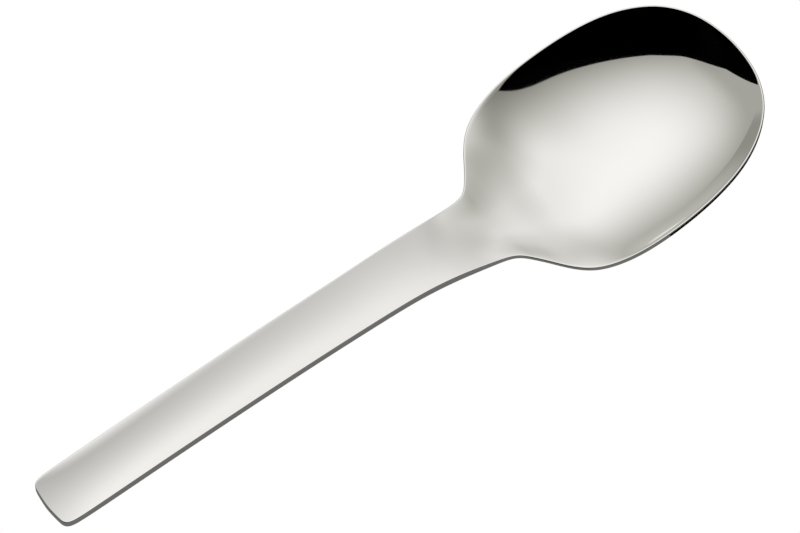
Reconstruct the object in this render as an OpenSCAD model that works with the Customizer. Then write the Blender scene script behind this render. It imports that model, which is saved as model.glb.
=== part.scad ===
// Serving spoon in polished steel, one piece: flat handle, dipped neck, open bowl.
// Millimetres. The spoon stands on its handle end and the bottom of its bowl, on z = 0,
// with the bowl tip towards +X, the rim up (+Z) and the middle plane of the spoon at y = 0.
// The origin is under the middle of its length.

/* [Overall] */
// Length over all, from the handle end to the tip of the bowl
spoon_length = 240; // [200:1:300]
// Height of the tip over the table, at the inner edge of the rim
spoon_height = 27.2; // [20:0.2:36]

/* [Bowl] */
// Length of the bowl, from the neck corners to its tip
bowl_length = 88; // [66:1:110]
// Greatest width of the bowl
bowl_width = 73.2; // [52:0.2:92]
// Wall at the bottom of the bowl
floor_thickness = 1.8; // [1.2:0.1:3]
// Height of the narrow face around the rim
rim_thickness = 1.75; // [1.2:0.05:3]

/* [Handle] */
// Width of the handle near its end
handle_width = 17.8; // [12:0.2:24]
// Height of the narrow side face of the handle
handle_thickness = 2.5; // [1.6:0.1:4]
// Rise of the top of the handle in its middle
handle_crown = 0.3; // [0:0.05:1]

/* [Edges] */
// Rounding of every long edge
edge_round = 0.35; // [0.1:0.05:0.6]

/* [Hidden] */

steel = [0.80, 0.80, 0.78];
handle_length = spoon_length - bowl_length;
edge_r = min(edge_round, 0.3 * min(rim_thickness, handle_thickness));

// Outline seen from above, as guide points of a smooth curve. Handle: share of the handle
// length, share of half its width. Bowl: share of the bowl length, share of half its width.
handle_outline_shares = [
    [0.0015, 0.42], [0.0037, 0.763], [0.009, 0.89], [0.019, 0.969], [0.042, 0.993], [0.09, 1],
    [0.17, 1.005], [0.28, 1.008], [0.41, 1.02], [0.54, 1.033], [0.66, 1.046], [0.76, 1.075],
    [0.84, 1.133], [0.9, 1.212], [0.95, 1.3], [0.983, 1.38], [1.003, 1.525]];
bowl_outline_shares = [
    [0.034, 0.451], [0.064, 0.546], [0.094, 0.656], [0.127, 0.76], [0.167, 0.849],
    [0.22, 0.915], [0.288, 0.966], [0.37, 0.996], [0.465, 1.004], [0.56, 0.996],
    [0.657, 0.968], [0.753, 0.911], [0.838, 0.81], [0.91, 0.672], [0.96, 0.495],
    [0.989, 0.3], [0.9993, 0.1]];

// Side view. The guide heights stand over evenly spaced knots: so many spans in the
// handle, then so many in the bowl.
handle_spans = 10;
bowl_spans = 8;
// Rise of the upper edge, from the handle end (0) to the bowl tip (1)
rim_rise_shares = [0, 0.018, 0.061, 0.128, 0.186, 0.242, 0.291, 0.331, 0.36, 0.395, 0.337,
    0.215, 0.264, 0.383, 0.493, 0.589, 0.69, 0.796, 0.905, 0.968, 1];
// Rise of the top's middle line over the edge of the handle, as a share of the crown
crown_shares = [0, 0.4, 0.85, 1, 1, 1, 1, 0.9, 0.72, 0.68, 0.45];
// Height of the bowl's middle line, from its floor (0) to the tip (1)
floor_rise_shares = [0.145, 0.076, -0.018, 0.022, 0.128, 0.225, 0.36, 0.558, 0.76, 1];
// Side face along the handle and the neck, then around the bowl
handle_side_shares = [0.92, 0.94, 0.98, 1, 1, 1, 1, 1, 1, 1, 1];
rim_side_shares = [0.66, 0.74, 0.94, 1, 1, 1, 1, 1, 1, 1];
// Wall under the middle line of the bowl
floor_wall_shares = [1.35, 1.05, 1, 1, 1, 1, 1, 1, 1, 1];
// Fullness of the cross section: 0 is a parabola, more keeps it flatter in the middle and
// steeper towards the edges, less lets it level out towards the edges
fullness_shares = [0, 0, 0, 0, 0, 0, 0, 0, 0, 0, 0,
    -0.5, -0.3, 0, -0.02, 0.03, 0.04, 0.1, 0.24, 0.05, 0];

// Fineness of the surface
steps_per_guide = 3;
steps_across = 20;
round_steps = 4;
under_steps = 3;

// Knots along the spoon, the end knots fourfold.
knots = concat(
    [for (i = [1 : 4]) 0],
    [for (i = [1 : handle_spans]) handle_length * i / handle_spans],
    [for (i = [1 : bowl_spans - 1]) handle_length + bowl_length * i / bowl_spans],
    [for (i = [1 : 4]) spoon_length]);

// Cubic spline over the knots: k is the knot before x, r the level of the blend.
function knot_before(x, k = 3) = (k >= len(knots) - 5 || x < knots[k + 1]) ? k : knot_before(x, k + 1);
function blend(c, x, k, r) = r == 0 ? c[k] :
    let (a = (x - knots[k]) / (knots[k + 4 - r] - knots[k]))
    (1 - a) * blend(c, x, k - 1, r - 1) + a * blend(c, x, k, r - 1);
function along(c, x) = let (q = min(max(x, 0), spoon_length)) blend(c, q, knot_before(q), 3);

// Guide values in millimetres.
end_height = handle_thickness * handle_side_shares[0];
last_handle = len(crown_shares) - 1;
rim_guides = [for (s = rim_rise_shares) end_height + s * (spoon_height - end_height)];
middle_guides = concat(
    [for (i = [0 : last_handle]) rim_guides[i] + handle_crown * crown_shares[i]],
    [for (s = floor_rise_shares) floor_thickness + s * (spoon_height - floor_thickness)]);
side_guides = concat(handle_thickness * handle_side_shares, rim_thickness * rim_side_shares);
wall_guides = concat(
    [for (i = [0 : last_handle]) handle_thickness * handle_side_shares[i] + handle_crown * crown_shares[i]],
    floor_thickness * floor_wall_shares);

function rim_z(x) = along(rim_guides, x);
function middle_z(x) = along(middle_guides, x);
function wall(x) = along(wall_guides, x);
function side(x) = along(side_guides, x);
function fullness(x) = along(fullness_shares, x);

// Guide points of one half of the outline. The first and the last one lie on the middle
// line, placed so that the curve ends square to it, at x = 0 and at the full length.
inner_guides = concat(
    [for (s = handle_outline_shares) [s[0] * handle_length, s[1] * handle_width / 2]],
    [for (s = bowl_outline_shares) [handle_length + s[0] * bowl_length, s[1] * bowl_width / 2]]);
first_guide = inner_guides[0];
last_guide = inner_guides[len(inner_guides) - 1];
guides = concat(
    [[first_guide[0], -first_guide[1]], [-first_guide[0] / 2, 0]],
    inner_guides,
    [[(3 * spoon_length - last_guide[0]) / 2, 0], [last_guide[0], -last_guide[1]]]);

// Point and direction of travel on the outline, at the guide i plus the fraction f.
function outline_point(i, f) = (pow(1 - f, 3) * guides[i]
    + (3 * pow(f, 3) - 6 * pow(f, 2) + 4) * guides[i + 1]
    + (-3 * pow(f, 3) + 3 * pow(f, 2) + 3 * f + 1) * guides[i + 2]
    + pow(f, 3) * guides[i + 3]) / 6;
function outline_run(i, f) = -pow(1 - f, 2) * guides[i]
    + (3 * pow(f, 2) - 4 * f) * guides[i + 1]
    + (-3 * pow(f, 2) + 2 * f + 1) * guides[i + 2]
    + pow(f, 2) * guides[i + 3];

// Stations around one half of the outline: point, outward normal.
last = (len(guides) - 3) * steps_per_guide;
function guide_of(s) = min(floor(s / steps_per_guide), len(guides) - 4);
function part_of(s) = s / steps_per_guide - guide_of(s);
points_out = [for (s = [0 : last]) outline_point(guide_of(s), part_of(s))];
normals = [for (s = [0 : last]) let (d = outline_run(guide_of(s), part_of(s))) [-d[1], d[0]] / norm(d)];

// Depth of the middle line under the edge: 0 for the upper surface, 1 for the lower one.
function depth(x, under) = rim_z(x) - middle_z(x) + under * (wall(x) - side(x));

// Steepness of either surface where it meets the edge, in degrees. The two end stations
// take the steepness of their neighbours.
function rim_run(x) = let (h = spoon_length / 1000) (rim_z(x + h) - rim_z(x - h))
    / (min(x + h, spoon_length) - max(x - h, 0));
function steepness(s, under) =
    let (q = min(max(s, 1), last - 1), p = points_out[q], n = normals[q])
    atan((2 + 2 * fullness(p[0])) * depth(p[0], under) / (p[1] * n[1]) + rim_run(p[0]) * n[0]);

// Edge loops, from the upper surface over the side face to the lower surface. Each row
// holds the distance inward from the outline and the height, for every station. The first
// loop lies at the height of the rim, the last one lower by the height of the side face.
upper_loops = [for (k = [0 : round_steps]) [for (s = [0 : last])
    let (b = steepness(s, 0), a = -b + (90 + b) * k / round_steps)
    [edge_r * (1 - sin(a)), rim_z(points_out[s][0]) + edge_r * (cos(a) - cos(b))]]];
lower_loops = [for (k = [0 : under_steps]) [for (s = [0 : last])
    let (b = steepness(s, 1), a = 90 + (90 - b) * k / under_steps, x = points_out[s][0])
    [edge_r * (1 - sin(a)), rim_z(x) - side(x) + edge_r * (cos(a) + cos(b))]]];
loops = concat(upper_loops, lower_loops);
loop_points = [for (row = loops) concat(
    [for (s = [0 : last]) let (p = points_out[s] - row[s][0] * normals[s]) [p[0], p[1], row[s][1]]],
    [for (s = [last - 1 : -1 : 1]) let (p = points_out[s] - row[s][0] * normals[s]) [p[0], -p[1], row[s][1]]])];

// Surface inside an edge loop: each station's line runs from edge to edge and is deep in
// its middle. Only the points inside the edge.
function across(edge, depth, x) = [for (j = [1 : steps_across - 1])
    let (v = 2 * j / steps_across - 1, q = fullness(x))
    [edge[0], v * edge[1], edge[2] - depth * (1 - (1 - q) * pow(v, 2) - q * pow(v, 4))]];
upper_points = [for (s = [1 : last - 1]) let (x = points_out[s][0]) each
    across(loop_points[0][s], depth(x, 0), x)];
lower_points = [for (s = [1 : last - 1]) let (x = points_out[s][0]) each
    across(loop_points[len(loops) - 1][s], depth(x, 1), x)];

all_points = concat([for (row = loop_points) each row], upper_points, lower_points);
lowest = min([for (p = all_points) p[2]]);
spoon_points = [for (p = all_points) p - [spoon_length / 2, 0, lowest]];

// Numbering of the points: loop k, place p on it; sheet 0 is the upper one, 1 the lower.
loop_size = 2 * last;
function on_loop(k, p) = k * loop_size + p % loop_size;
function on_sheet(sheet, s, j) = let (k = sheet * (len(loops) - 1))
    s == 0 || s == last ? on_loop(k, s) :
    j == 0 ? on_loop(k, loop_size - s) :
    j == steps_across ? on_loop(k, s) :
    len(loops) * loop_size + (sheet * (last - 1) + s - 1) * (steps_across - 1) + j - 1;

// Two triangles for a four-cornered patch, or one where it closes to a point. The
// diagonal is mirrored from one side of the spoon to the other.
function patch(a, b, c, d, turned) =
    a == b ? [[a, c, d]] : c == d ? [[a, b, c]] :
    turned ? [[a, b, d], [b, c, d]] : [[a, b, c], [a, c, d]];
function flipped(faces) = [for (f = faces) [f[2], f[1], f[0]]];
function sheet_faces(sheet) = [for (s = [0 : last - 1]) for (j = [0 : steps_across - 1]) each
    patch(on_sheet(sheet, s, j), on_sheet(sheet, s, j + 1), on_sheet(sheet, s + 1, j + 1),
        on_sheet(sheet, s + 1, j), 2 * j < steps_across)];
edge_faces = [for (k = [0 : len(loops) - 2]) for (p = [0 : loop_size - 1]) each
    patch(on_loop(k, p), on_loop(k + 1, p), on_loop(k + 1, p + 1), on_loop(k, p + 1), p < last)];

// Handle, neck and bowl: one sheet of steel, thick at the neck and thinner at the rim.
module spoon() {
    color(steel)
        polyhedron(points = spoon_points,
            faces = concat(sheet_faces(0), edge_faces, flipped(sheet_faces(1))), convexity = 6);
}

spoon();
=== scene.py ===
"""A serving spoon in polished steel on a plain pale floor, under plain soft studio light."""
import math

import bpy
import numpy as np
from mathutils import Matrix, Vector


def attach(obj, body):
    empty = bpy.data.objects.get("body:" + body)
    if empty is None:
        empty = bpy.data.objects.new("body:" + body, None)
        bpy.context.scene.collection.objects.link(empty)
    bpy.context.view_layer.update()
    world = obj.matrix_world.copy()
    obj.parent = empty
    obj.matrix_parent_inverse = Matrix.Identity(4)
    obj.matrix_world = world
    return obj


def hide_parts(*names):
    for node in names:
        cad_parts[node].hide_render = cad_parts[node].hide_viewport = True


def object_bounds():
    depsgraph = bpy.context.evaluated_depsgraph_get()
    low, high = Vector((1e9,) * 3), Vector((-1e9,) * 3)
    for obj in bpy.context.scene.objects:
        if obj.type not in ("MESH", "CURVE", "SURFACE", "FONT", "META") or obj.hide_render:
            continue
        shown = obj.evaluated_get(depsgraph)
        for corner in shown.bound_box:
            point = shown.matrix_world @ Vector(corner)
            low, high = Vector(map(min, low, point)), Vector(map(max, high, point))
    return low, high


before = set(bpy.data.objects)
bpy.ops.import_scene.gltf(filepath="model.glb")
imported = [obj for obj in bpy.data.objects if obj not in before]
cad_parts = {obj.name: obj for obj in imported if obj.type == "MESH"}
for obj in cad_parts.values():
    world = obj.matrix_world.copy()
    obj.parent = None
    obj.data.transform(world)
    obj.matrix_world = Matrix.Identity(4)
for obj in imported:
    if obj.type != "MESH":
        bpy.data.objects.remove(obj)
cad_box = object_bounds()

MM = 0.001

# Sizes of the spoon, in millimetres. The length comes from the frame.
SPOON_LENGTH = (cad_box[1].x - cad_box[0].x) / MM
SPOON_HEIGHT = 27.2
BOWL_LENGTH = 88
BOWL_WIDTH = 73.2
FLOOR_THICKNESS = 1.8
RIM_THICKNESS = 1.75
HANDLE_LENGTH = SPOON_LENGTH - BOWL_LENGTH
HANDLE_WIDTH = 17.8
HANDLE_THICKNESS = 2.5
HANDLE_CROWN = 0.3
EDGE_ROUND = 0.35
LARGEST_ROUND_SHARE = 0.3
EDGE_RADIUS = min(EDGE_ROUND, LARGEST_ROUND_SHARE * min(RIM_THICKNESS, HANDLE_THICKNESS))

# Outline seen from above, as guide points of a smooth curve. Handle: share of the handle
# length, share of half its width. Bowl: share of the bowl length, share of half its width.
HANDLE_OUTLINE_SHARES = (
    (0.0015, 0.42), (0.0037, 0.763), (0.009, 0.89), (0.019, 0.969), (0.042, 0.993), (0.09, 1),
    (0.17, 1.005), (0.28, 1.008), (0.41, 1.02), (0.54, 1.033), (0.66, 1.046), (0.76, 1.075),
    (0.84, 1.133), (0.9, 1.212), (0.95, 1.3), (0.983, 1.38), (1.003, 1.525))
BOWL_OUTLINE_SHARES = (
    (0.034, 0.451), (0.064, 0.546), (0.094, 0.656), (0.127, 0.76), (0.167, 0.849),
    (0.22, 0.915), (0.288, 0.966), (0.37, 0.996), (0.465, 1.004), (0.56, 0.996),
    (0.657, 0.968), (0.753, 0.911), (0.838, 0.81), (0.91, 0.672), (0.96, 0.495),
    (0.989, 0.3), (0.9993, 0.1))

# Side view, as guide heights over evenly spaced knots: so many spans in the handle, then
# so many in the bowl.
HANDLE_SPANS = 10
BOWL_SPANS = 8
# Rise of the upper edge, from the handle end (0) to the bowl tip (1)
RIM_RISE_SHARES = (0, 0.018, 0.061, 0.128, 0.186, 0.242, 0.291, 0.331, 0.36, 0.395, 0.337,
                   0.215, 0.264, 0.383, 0.493, 0.589, 0.69, 0.796, 0.905, 0.968, 1)
# Rise of the top's middle line over the edge of the handle, as a share of the crown
CROWN_SHARES = (0, 0.4, 0.85, 1, 1, 1, 1, 0.9, 0.72, 0.68, 0.45)
# Height of the bowl's middle line, from its floor (0) to the tip (1)
FLOOR_RISE_SHARES = (0.145, 0.076, -0.018, 0.022, 0.128, 0.225, 0.36, 0.558, 0.76, 1)
# Side face along the handle and the neck, then around the bowl
HANDLE_SIDE_SHARES = (0.92, 0.94, 0.98, 1, 1, 1, 1, 1, 1, 1, 1)
RIM_SIDE_SHARES = (0.66, 0.74, 0.94, 1, 1, 1, 1, 1, 1, 1)
# Wall under the middle line of the bowl
FLOOR_WALL_SHARES = (1.35, 1.05, 1, 1, 1, 1, 1, 1, 1, 1)
# Fullness of the cross section: 0 is a parabola, more is flatter in the middle and steeper
# at the edges. Some shares of the bowl differ a little from the part's, with which its near
# side would mirror the far wall as a bright patch.
FULLNESS_SHARES = (0, 0, 0, 0, 0, 0, 0, 0, 0, 0, 0,
                   -0.38, -0.45, -0.04, -0.02, 0.01, 0.02, 0.1, 0.24, 0.05, 0)

# Fineness of the visible mesh: a mirror shows every facet, so the grid is dense.
STEPS_PER_GUIDE = 9
STEPS_ACROSS = 72
ROUND_STEPS = 8
SIDE_STEPS = 3
UNDER_STEPS = 6
# The rim's slope is measured over twice this step.
SLOPE_STEP = SPOON_LENGTH / 1000
# Stands in for the zero width at both ends of the outline.
SMALLEST_WIDTH = 1e-9

# Polished steel. In streaks along the spoon, its roughness rises from the first value to
# the second while their noise rises over its span.
STEEL_COLOUR = (0.84, 0.828, 0.8, 1)
STEEL_ROUGHNESS = (0.02, 0.04)
STREAKS_PER_METRE = (60, 2400, 2400)
STREAK_DETAIL = 3
STREAK_NOISE = (0.3, 0.7)

# Camera at the photograph's viewing angle, in millimetres, and its roll in degrees.
CAMERA_TARGET = (5.8, 8.1, 0)
CAMERA_PLACE = (-324.3, -435.2, 805.1)
CAMERA_ROLL = 0.42
CAMERA_LENS = 153
CAMERA_SENSOR = 36
CAMERA_NEAR = 10

# Pale floor, which the steel doesn't mirror, and how bright it shines.
FLOOR_REACH = 2000
FLOOR_GREY = 1.0

# What the steel mirrors in the floor's place, both just under the floor: a grey ground that
# ends behind the spoon, painted shade of the floor around it, and a black card near the front
# of the bowl, a painted shadow under it.
GROUND_REACH = 2000
GROUND_BACK = 70
GROUND_DROP = 2
# Painted shade: in the steel the floor is this grey, as if the spoon shaded it.
GROUND_SHADE_GREY = 0.17
CARD_FRONT_LEFT = (75, -400)
CARD_BACK_RIGHT = (600, 32)
CARD_DROP = 1
# Painted shadow: near black, as under the front of the bowl.
SHADOW_CARD_GREY = 0.004

# Thin black cloth behind the handle. It ends above the rim of the bowl. Its cover is the
# product of soft steps: axis, place of the start and the end, cover at the start and end.
SHADE_Y = 30
SHADE_BOTTOM = 30
SHADE_TOP = 103
SHADE_LEFT = -160
SHADE_RIGHT = 76
SHADE_FADES = (
    ("X", -240, 130, 0.66, 0.26),
    ("X", SHADE_RIGHT, 46, 0, 1),
    ("Z", SHADE_TOP, 28, 0, 1),
    ("Z", SHADE_BOTTOM, 44, 0, 1))
SHADE_GREY = 0.003

# Light by direction, all angles in degrees: azimuth and elevation of each middle, how far
# from it the light ends and its full part ends, and what it adds to the grey of the room
# or, below zero, takes away.
ROOM_GREY = 0.01
LIGHTS = (
    (39, 57, 73, 23, 0.95),
    (152, -14, 118, 42, 0.43),
    (5, 17, 44, 23, -0.26),
    (-29, 47, 37, 0, -0.56),
    (44, 11, 13, 3, 0.1))

# The dark room on the camera's side. It lies behind straight edges, each given by the
# azimuth and the elevation of its highest point.
DARK_EDGES = ((-134.6, 67.1), (-144.4, 49.7), (-127.4, 68.7))
DARK_SOFTNESS = 0.2
DARK_GREY = 0.002

# Low grey wall on that side, under what the bowl mirrors to the camera. It begins, and is
# full, at these angles from its middle and at these angles from straight up.
WALL_MIDDLE = -80
WALL_RUN = (72, 55)
WALL_TOP = (66, 76)
WALL_GREY = 0.4

# Low dark band over the horizon, behind the spoon. Its top edge runs around a leaning
# axis. From its middle it darkens over its run and ends softly, and in its middle part it
# is a little lighter near the horizon.
BAND_AXIS = (-102, 61)
BAND_TOP = 109.3
BAND_EDGE = 0.6
BAND_MIDDLE = 30
BAND_RUN = (44, 66)
BAND_GREYS = (0.52, 0.31)
BAND_END = (72, 82)
BAND_LIFT = 0.06
BAND_LIFT_RUN = (81, 86)

# Dim light is a little warmer and greener than bright light: over this span of its
# strength the blue in it rises from the first share to the second.
TINT_SPAN = (0.3, 0.95)
TINT_BLUE = (0.92, 1)
WHITE = (1, 1, 1, 1)


def guide_heights(shares, scale, base=0.0):
    """The base plus each share of the scale."""
    return np.array([base + scale * s for s in shares])


# Knots along the spoon, the end knots fourfold, and the guide heights over them.
KNOTS = np.concatenate([
    np.zeros(4),
    HANDLE_LENGTH * np.arange(1, HANDLE_SPANS + 1) / HANDLE_SPANS,
    HANDLE_LENGTH + BOWL_LENGTH * np.arange(1, BOWL_SPANS) / BOWL_SPANS,
    np.full(4, SPOON_LENGTH)])
END_HEIGHT = HANDLE_THICKNESS * HANDLE_SIDE_SHARES[0]
CROWN_GUIDES = guide_heights(CROWN_SHARES, HANDLE_CROWN)
RIM_GUIDES = guide_heights(RIM_RISE_SHARES, SPOON_HEIGHT - END_HEIGHT, END_HEIGHT)
MIDDLE_GUIDES = np.concatenate([
    RIM_GUIDES[:len(CROWN_SHARES)] + CROWN_GUIDES,
    guide_heights(FLOOR_RISE_SHARES, SPOON_HEIGHT - FLOOR_THICKNESS, FLOOR_THICKNESS)])
SIDE_GUIDES = np.concatenate([
    guide_heights(HANDLE_SIDE_SHARES, HANDLE_THICKNESS),
    guide_heights(RIM_SIDE_SHARES, RIM_THICKNESS)])
WALL_GUIDES = np.concatenate([
    guide_heights(HANDLE_SIDE_SHARES, HANDLE_THICKNESS) + CROWN_GUIDES,
    guide_heights(FLOOR_WALL_SHARES, FLOOR_THICKNESS)])


def along(guides, x):
    """Value at x, on the cubic spline that these guide values give over the knots."""
    x = np.clip(x, 0, SPOON_LENGTH)
    k = np.clip(np.searchsorted(KNOTS, x, side="right") - 1, 3, len(KNOTS) - 5)
    row = [guides[k - 3 + j] for j in range(4)]
    for level in range(1, 4):
        for j in range(3, level - 1, -1):
            low, high = KNOTS[k - 3 + j], KNOTS[k + 1 + j - level]
            share = (x - low) / (high - low)
            row[j] = (1 - share) * row[j - 1] + share * row[j]
    return row[3]


def rim_height(x):
    return along(RIM_GUIDES, x)


def side_height(x):
    return along(SIDE_GUIDES, x)


def fullness(x):
    return along(np.array(FULLNESS_SHARES), x)


def rise(v, x):
    """Rise of the cross section, 0 in its middle and 1 at the edges, at v of the half width."""
    return (1 - fullness(x)) * v ** 2 + fullness(x) * v ** 4


def depth(x, under):
    """Depth of the middle line under the edge, of the upper (under 0) or lower surface (1)."""
    wall = along(WALL_GUIDES, x) - side_height(x)
    return rim_height(x) - along(MIDDLE_GUIDES, x) + under * wall


def outline_guides():
    """Guide points of the half at +y, placed so that the curve ends square to y = 0."""
    inner = [(a * HANDLE_LENGTH, b * HANDLE_WIDTH / 2) for a, b in HANDLE_OUTLINE_SHARES]
    inner += [(HANDLE_LENGTH + a * BOWL_LENGTH, b * BOWL_WIDTH / 2)
              for a, b in BOWL_OUTLINE_SHARES]
    first, last = inner[0], inner[-1]
    return np.array(
        [(first[0], -first[1]), (-first[0] / 2, 0)] + inner
        + [((3 * SPOON_LENGTH - last[0]) / 2, 0), (last[0], -last[1])])


def outline():
    """Stations around the half of the outline at +y: points and outward normals."""
    guides = outline_guides()
    place = np.arange((len(guides) - 3) * STEPS_PER_GUIDE + 1) / STEPS_PER_GUIDE
    i = np.minimum(place.astype(int), len(guides) - 4)
    f = (place - i)[:, None]
    points = ((1 - f) ** 3 * guides[i] + (3 * f ** 3 - 6 * f ** 2 + 4) * guides[i + 1]
              + (-3 * f ** 3 + 3 * f ** 2 + 3 * f + 1) * guides[i + 2] + f ** 3 * guides[i + 3]) / 6
    run = (-(1 - f) ** 2 * guides[i] + (3 * f ** 2 - 4 * f) * guides[i + 1]
           + (-3 * f ** 2 + 2 * f + 1) * guides[i + 2] + f ** 2 * guides[i + 3])
    run /= np.linalg.norm(run, axis=1)[:, None]
    return points, np.stack([-run[:, 1], run[:, 0]], axis=1)


def steepness(points, normals, under):
    """Angle at which a surface meets the edge. The end stations take their neighbours' angle."""
    x = points[:, 0]
    rim_run = (rim_height(x + SLOPE_STEP) - rim_height(x - SLOPE_STEP)) / (
        np.minimum(x + SLOPE_STEP, SPOON_LENGTH) - np.maximum(x - SLOPE_STEP, 0))
    width = np.maximum(points[:, 1] * normals[:, 1], SMALLEST_WIDTH)
    angle = np.arctan((2 + 2 * fullness(x)) * depth(x, under) / width + rim_run * normals[:, 0])
    angle[0], angle[-1] = angle[1], angle[-2]
    return angle


def edge_loops(points, normals):
    """Loops from the upper surface over the rounded edge and the side face to the lower one."""
    x = points[:, 0]
    quarter = math.pi / 2
    top, bottom = steepness(points, normals, 0), steepness(points, normals, 1)
    upper_edge = rim_height(x)
    lower_edge = upper_edge - side_height(x)
    rows = []
    for k in range(ROUND_STEPS + 1):
        a = -top + (quarter + top) * k / ROUND_STEPS
        height = upper_edge + EDGE_RADIUS * (np.cos(a) - np.cos(top))
        rows.append((EDGE_RADIUS * (1 - np.sin(a)), height))
    face_top = rows[-1][1]
    face_bottom = lower_edge + EDGE_RADIUS * np.cos(bottom)
    for k in range(1, SIDE_STEPS):
        rows.append((np.zeros(len(x)), face_top + (face_bottom - face_top) * k / SIDE_STEPS))
    for k in range(UNDER_STEPS + 1):
        a = quarter + (quarter - bottom) * k / UNDER_STEPS
        height = lower_edge + EDGE_RADIUS * (np.cos(a) + np.cos(bottom))
        rows.append((EDGE_RADIUS * (1 - np.sin(a)), height))
    return [np.column_stack([points - inward[:, None] * normals, height])
            for inward, height in rows]


def sheet(loop, stations, under):
    """Points between the two sides of an edge loop, one row for each inner station."""
    v = 2 * np.arange(1, STEPS_ACROSS) / STEPS_ACROSS - 1
    rows = []
    for point, x in zip(loop[1:-1], stations[1:-1]):
        sunk = depth(x, under) * (1 - rise(v, x))
        rows.append(np.column_stack([np.full(len(v), point[0]), v * point[1], point[2] - sunk]))
    return rows


def spoon_mesh():
    """The whole spoon as one closed mesh in metres, as high and wide as the frame's spoon."""
    points, normals = outline()
    loops = edge_loops(points, normals)
    last = len(points) - 1
    ring = 2 * last
    rows = [np.vstack([loop, loop[last - 1:0:-1] * (1, -1, 1)]) for loop in loops]
    for under, loop in ((0, loops[0]), (1, loops[-1])):
        rows += sheet(loop, points[:, 0], under)
    verts = np.vstack(rows)

    def on_loop(k, p):
        return k * ring + p % ring

    def on_sheet(under, s, j):
        k = under * (len(loops) - 1)
        if s in (0, last):
            return on_loop(k, s)
        if j == 0:
            return on_loop(k, ring - s)
        if j == STEPS_ACROSS:
            return on_loop(k, s)
        return len(loops) * ring + (under * (last - 1) + s - 1) * (STEPS_ACROSS - 1) + j - 1

    faces = []
    for under in (0, 1):
        for s in range(last):
            for j in range(STEPS_ACROSS):
                corners = [on_sheet(under, s, j), on_sheet(under, s, j + 1),
                           on_sheet(under, s + 1, j + 1), on_sheet(under, s + 1, j)]
                corners = list(dict.fromkeys(corners))
                faces.append(corners if under else corners[::-1])
    for k in range(len(loops) - 1):
        for p in range(ring):
            faces.append([on_loop(k, p + 1), on_loop(k + 1, p + 1),
                          on_loop(k + 1, p), on_loop(k, p)])

    verts -= (SPOON_LENGTH / 2, 0, verts[:, 2].min())
    verts[:, 1] *= (cad_box[1].y - cad_box[0].y) / MM / np.ptp(verts[:, 1])
    verts[:, 2] *= (cad_box[1].z - cad_box[0].z) / MM / verts[:, 2].max()
    return verts * MM, faces


def make_object(name, verts, faces, material):
    mesh = bpy.data.meshes.new(name)
    mesh.from_pydata([tuple(v) for v in verts], [], faces)
    mesh.validate()
    mesh.materials.append(material)
    piece = bpy.data.objects.new(name, mesh)
    bpy.context.scene.collection.objects.link(piece)
    return piece


def card(name, low, high, material, mirrored=True):
    """A flat card between two corners in millimetres, seen in reflections or else directly."""
    (x0, y0, z0), (x1, y1, z1) = low, high
    corners = [(x0, y0, z0), (x1, y0, z0), (x1, y1, z1), (x0, y1, z1)]
    piece = make_object(name, [Vector(c) * MM for c in corners], [(0, 1, 2, 3)], material)
    piece.visible_camera = not mirrored
    piece.visible_glossy = mirrored
    piece.visible_diffuse = False
    piece.visible_shadow = False


def node(tree, kind, **values):
    made = tree.nodes.new(kind)
    for key, value in values.items():
        setattr(made, key, value)
    return made


def joined(tree, operation, a, b):
    """Two values brought together by one operation."""
    result = node(tree, "ShaderNodeMath", operation=operation)
    tree.links.new(a, result.inputs[0])
    tree.links.new(b, result.inputs[1])
    return result.outputs["Value"]


def mapped(tree, value, start, end, low, high, curve="SMOOTHSTEP"):
    """The value taken from low at the start to high at the end, and held beyond both."""
    step = node(tree, "ShaderNodeMapRange", interpolation_type=curve)
    step.inputs["From Min"].default_value = start
    step.inputs["From Max"].default_value = end
    step.inputs["To Min"].default_value = low
    step.inputs["To Max"].default_value = high
    tree.links.new(value, step.inputs["Value"])
    return step.outputs["Result"]


def blended(tree, share, first, second):
    """Two shaders in one: only the first at the share 0, only the second at the share 1."""
    mix = node(tree, "ShaderNodeMixShader")
    tree.links.new(share, mix.inputs["Fac"])
    tree.links.new(first, mix.inputs[1])
    tree.links.new(second, mix.inputs[2])
    return mix.outputs["Shader"]


def polished_steel():
    """Mirror-polished steel with fine polishing marks along the spoon."""
    steel = bpy.data.materials.new("polished_steel")
    steel.use_nodes = True
    tree = steel.node_tree
    shader = tree.nodes["Principled BSDF"]
    shader.inputs["Metallic"].default_value = 1.0
    shader.inputs["Base Color"].default_value = STEEL_COLOUR

    stretch = node(tree, "ShaderNodeMapping")
    stretch.inputs["Scale"].default_value = STREAKS_PER_METRE
    place = node(tree, "ShaderNodeTexCoord").outputs["Object"]
    tree.links.new(place, stretch.inputs["Vector"])
    streaks = node(tree, "ShaderNodeTexNoise")
    streaks.inputs["Scale"].default_value = 1
    streaks.inputs["Detail"].default_value = STREAK_DETAIL
    tree.links.new(stretch.outputs["Vector"], streaks.inputs["Vector"])
    roughness = mapped(tree, streaks.outputs["Fac"], *STREAK_NOISE, *STEEL_ROUGHNESS, "LINEAR")
    tree.links.new(roughness, shader.inputs["Roughness"])
    return steel


def bare_material(name):
    """A material without any nodes yet."""
    material = bpy.data.materials.new(name)
    material.use_nodes = True
    material.node_tree.nodes.clear()
    return material


def shine(tree, grey):
    light = node(tree, "ShaderNodeEmission")
    light.inputs["Color"].default_value = WHITE
    light.inputs["Strength"].default_value = grey
    return light.outputs["Emission"]


def glow(name, grey):
    """A plain shining surface."""
    material = bare_material(name)
    tree = material.node_tree
    output = node(tree, "ShaderNodeOutputMaterial")
    tree.links.new(shine(tree, grey), output.inputs["Surface"])
    return material


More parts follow.
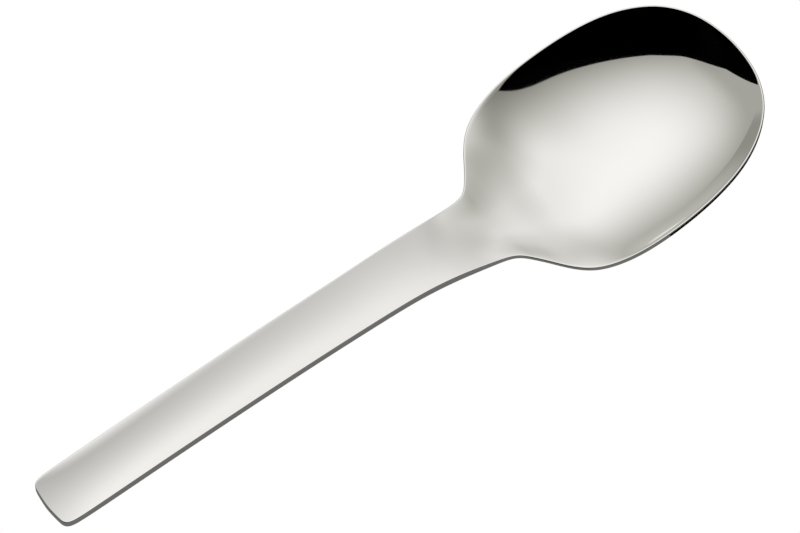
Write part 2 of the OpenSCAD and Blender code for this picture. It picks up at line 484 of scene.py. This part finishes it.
def cloth(name, grey, fades):
    """A plain cloth that thins out where any of the soft steps lets its cover fall."""
    material = bare_material(name)
    tree = material.node_tree
    split = node(tree, "ShaderNodeSeparateXYZ")
    place = node(tree, "ShaderNodeTexCoord").outputs["Object"]
    tree.links.new(place, split.inputs["Vector"])
    cover = None
    for axis, start, end, low, high in fades:
        step = mapped(tree, split.outputs[axis], start * MM, end * MM, low, high)
        cover = joined(tree, "MULTIPLY", cover, step) if cover else step
    clear = node(tree, "ShaderNodeBsdfTransparent").outputs["BSDF"]
    output = node(tree, "ShaderNodeOutputMaterial")
    tree.links.new(blended(tree, cover, clear, shine(tree, grey)), output.inputs["Surface"])
    return material


def toward(azimuth, elevation):
    """The direction with these angles, in degrees."""
    a, e = math.radians(azimuth), math.radians(elevation)
    return (math.cos(e) * math.cos(a), math.cos(e) * math.sin(a), math.sin(e))


def angle_from(tree, look, azimuth, elevation):
    """Angle between the looked-at direction and a given one."""
    dot = node(tree, "ShaderNodeVectorMath", operation="DOT_PRODUCT")
    dot.inputs[1].default_value = toward(azimuth, elevation)
    tree.links.new(look, dot.inputs[0])
    angle = node(tree, "ShaderNodeMath", operation="ARCCOSINE")
    tree.links.new(dot.outputs["Value"], angle.inputs[0])
    return angle.outputs["Value"]


def faded(tree, angle, start, end, low, high):
    """Soft step of an angle from low at the start to high at the end, both in degrees."""
    return mapped(tree, angle, math.radians(start), math.radians(end), low, high)


def soft_lights(tree, look):
    """The room's grey and the lights in it. The first light's step begins at that grey."""
    light = None
    for azimuth, elevation, reach, core, gain in LIGHTS:
        grey = 0 if light else ROOM_GREY
        angle = angle_from(tree, look, azimuth, elevation)
        lobe = faded(tree, angle, reach, core, grey, grey + gain)
        light = joined(tree, "ADD", light, lobe) if light else lobe
    return light


def with_band(tree, look, from_top, light):
    """The light, with the low dark band in its place."""
    from_middle = angle_from(tree, look, BAND_MIDDLE, 0)
    lift = joined(tree, "MULTIPLY", faded(tree, from_middle, *BAND_RUN, BAND_LIFT, 0),
                  faded(tree, from_top, *BAND_LIFT_RUN, 0, 1))
    grey = joined(tree, "ADD", faded(tree, from_middle, *BAND_RUN, *BAND_GREYS), lift)
    from_axis = angle_from(tree, look, *BAND_AXIS)
    inside = joined(tree, "MULTIPLY", faded(tree, from_middle, *BAND_END, 1, 0),
                    faded(tree, from_axis, BAND_TOP, BAND_TOP + BAND_EDGE, 0, 1))
    light_or_band = node(tree, "ShaderNodeMix", data_type="FLOAT")
    tree.links.new(inside, light_or_band.inputs["Factor"])
    tree.links.new(light, light_or_band.inputs["A"])
    tree.links.new(grey, light_or_band.inputs["B"])
    return light_or_band.outputs["Result"]


def with_dark_room(tree, look, light):
    """The light, nearly put out behind each of the dark room's edges."""
    for azimuth, elevation in DARK_EDGES:
        from_lit_side = angle_from(tree, look, azimuth + 180, 90 - elevation)
        lit = faded(tree, from_lit_side, 90 + DARK_SOFTNESS, 90 - DARK_SOFTNESS, DARK_GREY, 1)
        light = joined(tree, "MULTIPLY", light, lit)
    return light


def with_wall(tree, look, from_top, light):
    """The light, with the low grey wall wherever that is brighter."""
    from_middle = angle_from(tree, look, WALL_MIDDLE, 0)
    wall = joined(tree, "MULTIPLY", faded(tree, from_top, *WALL_TOP, 0, WALL_GREY),
                  faded(tree, from_middle, *WALL_RUN, 0, 1))
    return joined(tree, "MAXIMUM", light, wall)


def make_studio():
    """The world: light by direction for the steel, and plain white for the camera."""
    world = bpy.data.worlds.new("studio")
    bpy.context.scene.world = world
    world.use_nodes = True
    tree = world.node_tree
    tree.nodes.clear()
    look = node(tree, "ShaderNodeTexCoord").outputs["Generated"]
    from_top = angle_from(tree, look, 0, 90)
    light = soft_lights(tree, look)
    light = with_band(tree, look, from_top, light)
    light = with_dark_room(tree, look, light)
    light = with_wall(tree, look, from_top, light)

    tint = node(tree, "ShaderNodeCombineColor")
    tint.inputs["Red"].default_value = 1
    tint.inputs["Green"].default_value = 1
    blue = mapped(tree, light, *TINT_SPAN, *TINT_BLUE, "LINEAR")
    tree.links.new(blue, tint.inputs["Blue"])
    room = node(tree, "ShaderNodeBackground")
    tree.links.new(tint.outputs["Color"], room.inputs["Color"])
    tree.links.new(light, room.inputs["Strength"])
    plain = node(tree, "ShaderNodeBackground")
    plain.inputs["Color"].default_value = WHITE
    to_camera = node(tree, "ShaderNodeLightPath").outputs["Is Camera Ray"]
    output = node(tree, "ShaderNodeOutputWorld")
    tree.links.new(
        blended(tree, to_camera, room.outputs["Background"], plain.outputs["Background"]),
        output.inputs["Surface"])


def make_stage():
    """The floor, and the cards that only the steel shows."""
    card("floor", (-FLOOR_REACH, -FLOOR_REACH, 0), (FLOOR_REACH, FLOOR_REACH, 0),
         glow("pale_floor", FLOOR_GREY), mirrored=False)
    card("shade_behind_handle",
         (SHADE_LEFT, SHADE_Y, SHADE_BOTTOM), (SHADE_RIGHT, SHADE_Y, SHADE_TOP),
         cloth("shade_cloth", SHADE_GREY, SHADE_FADES))
    # Painted shade: the floor as the steel mirrors it, grey as if in the spoon's shade.
    card("shaded_ground_in_steel",
         (-GROUND_REACH, -GROUND_REACH, -GROUND_DROP), (GROUND_REACH, GROUND_BACK, -GROUND_DROP),
         glow("ground_shade", GROUND_SHADE_GREY))
    # Painted shadow under the front of the bowl, which only the steel shows.
    card("painted_shadow_card", (*CARD_FRONT_LEFT, -CARD_DROP), (*CARD_BACK_RIGHT, -CARD_DROP),
         glow("painted_shadow", SHADOW_CARD_GREY))


def make_camera():
    camera = bpy.data.objects.new("camera", bpy.data.cameras.new("camera"))
    bpy.context.scene.collection.objects.link(camera)
    bpy.context.scene.camera = camera
    camera.data.sensor_width = CAMERA_SENSOR
    camera.data.lens = CAMERA_LENS
    camera.data.clip_start = CAMERA_NEAR * MM
    camera.location = Vector(CAMERA_PLACE) * MM
    direction = (Vector(CAMERA_TARGET) - Vector(CAMERA_PLACE)) * MM
    roll = Matrix.Rotation(math.radians(CAMERA_ROLL), 3, "Z").to_quaternion()
    camera.rotation_mode = "QUATERNION"
    camera.rotation_quaternion = direction.to_track_quat("-Z", "Y") @ roll


spoon = make_object("serving_spoon", *spoon_mesh(), polished_steel())
spoon.data.shade_smooth()
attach(spoon, "root")
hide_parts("spoon")

make_stage()
make_studio()
make_camera()
bpy.context.scene.view_settings.view_transform = "Standard"
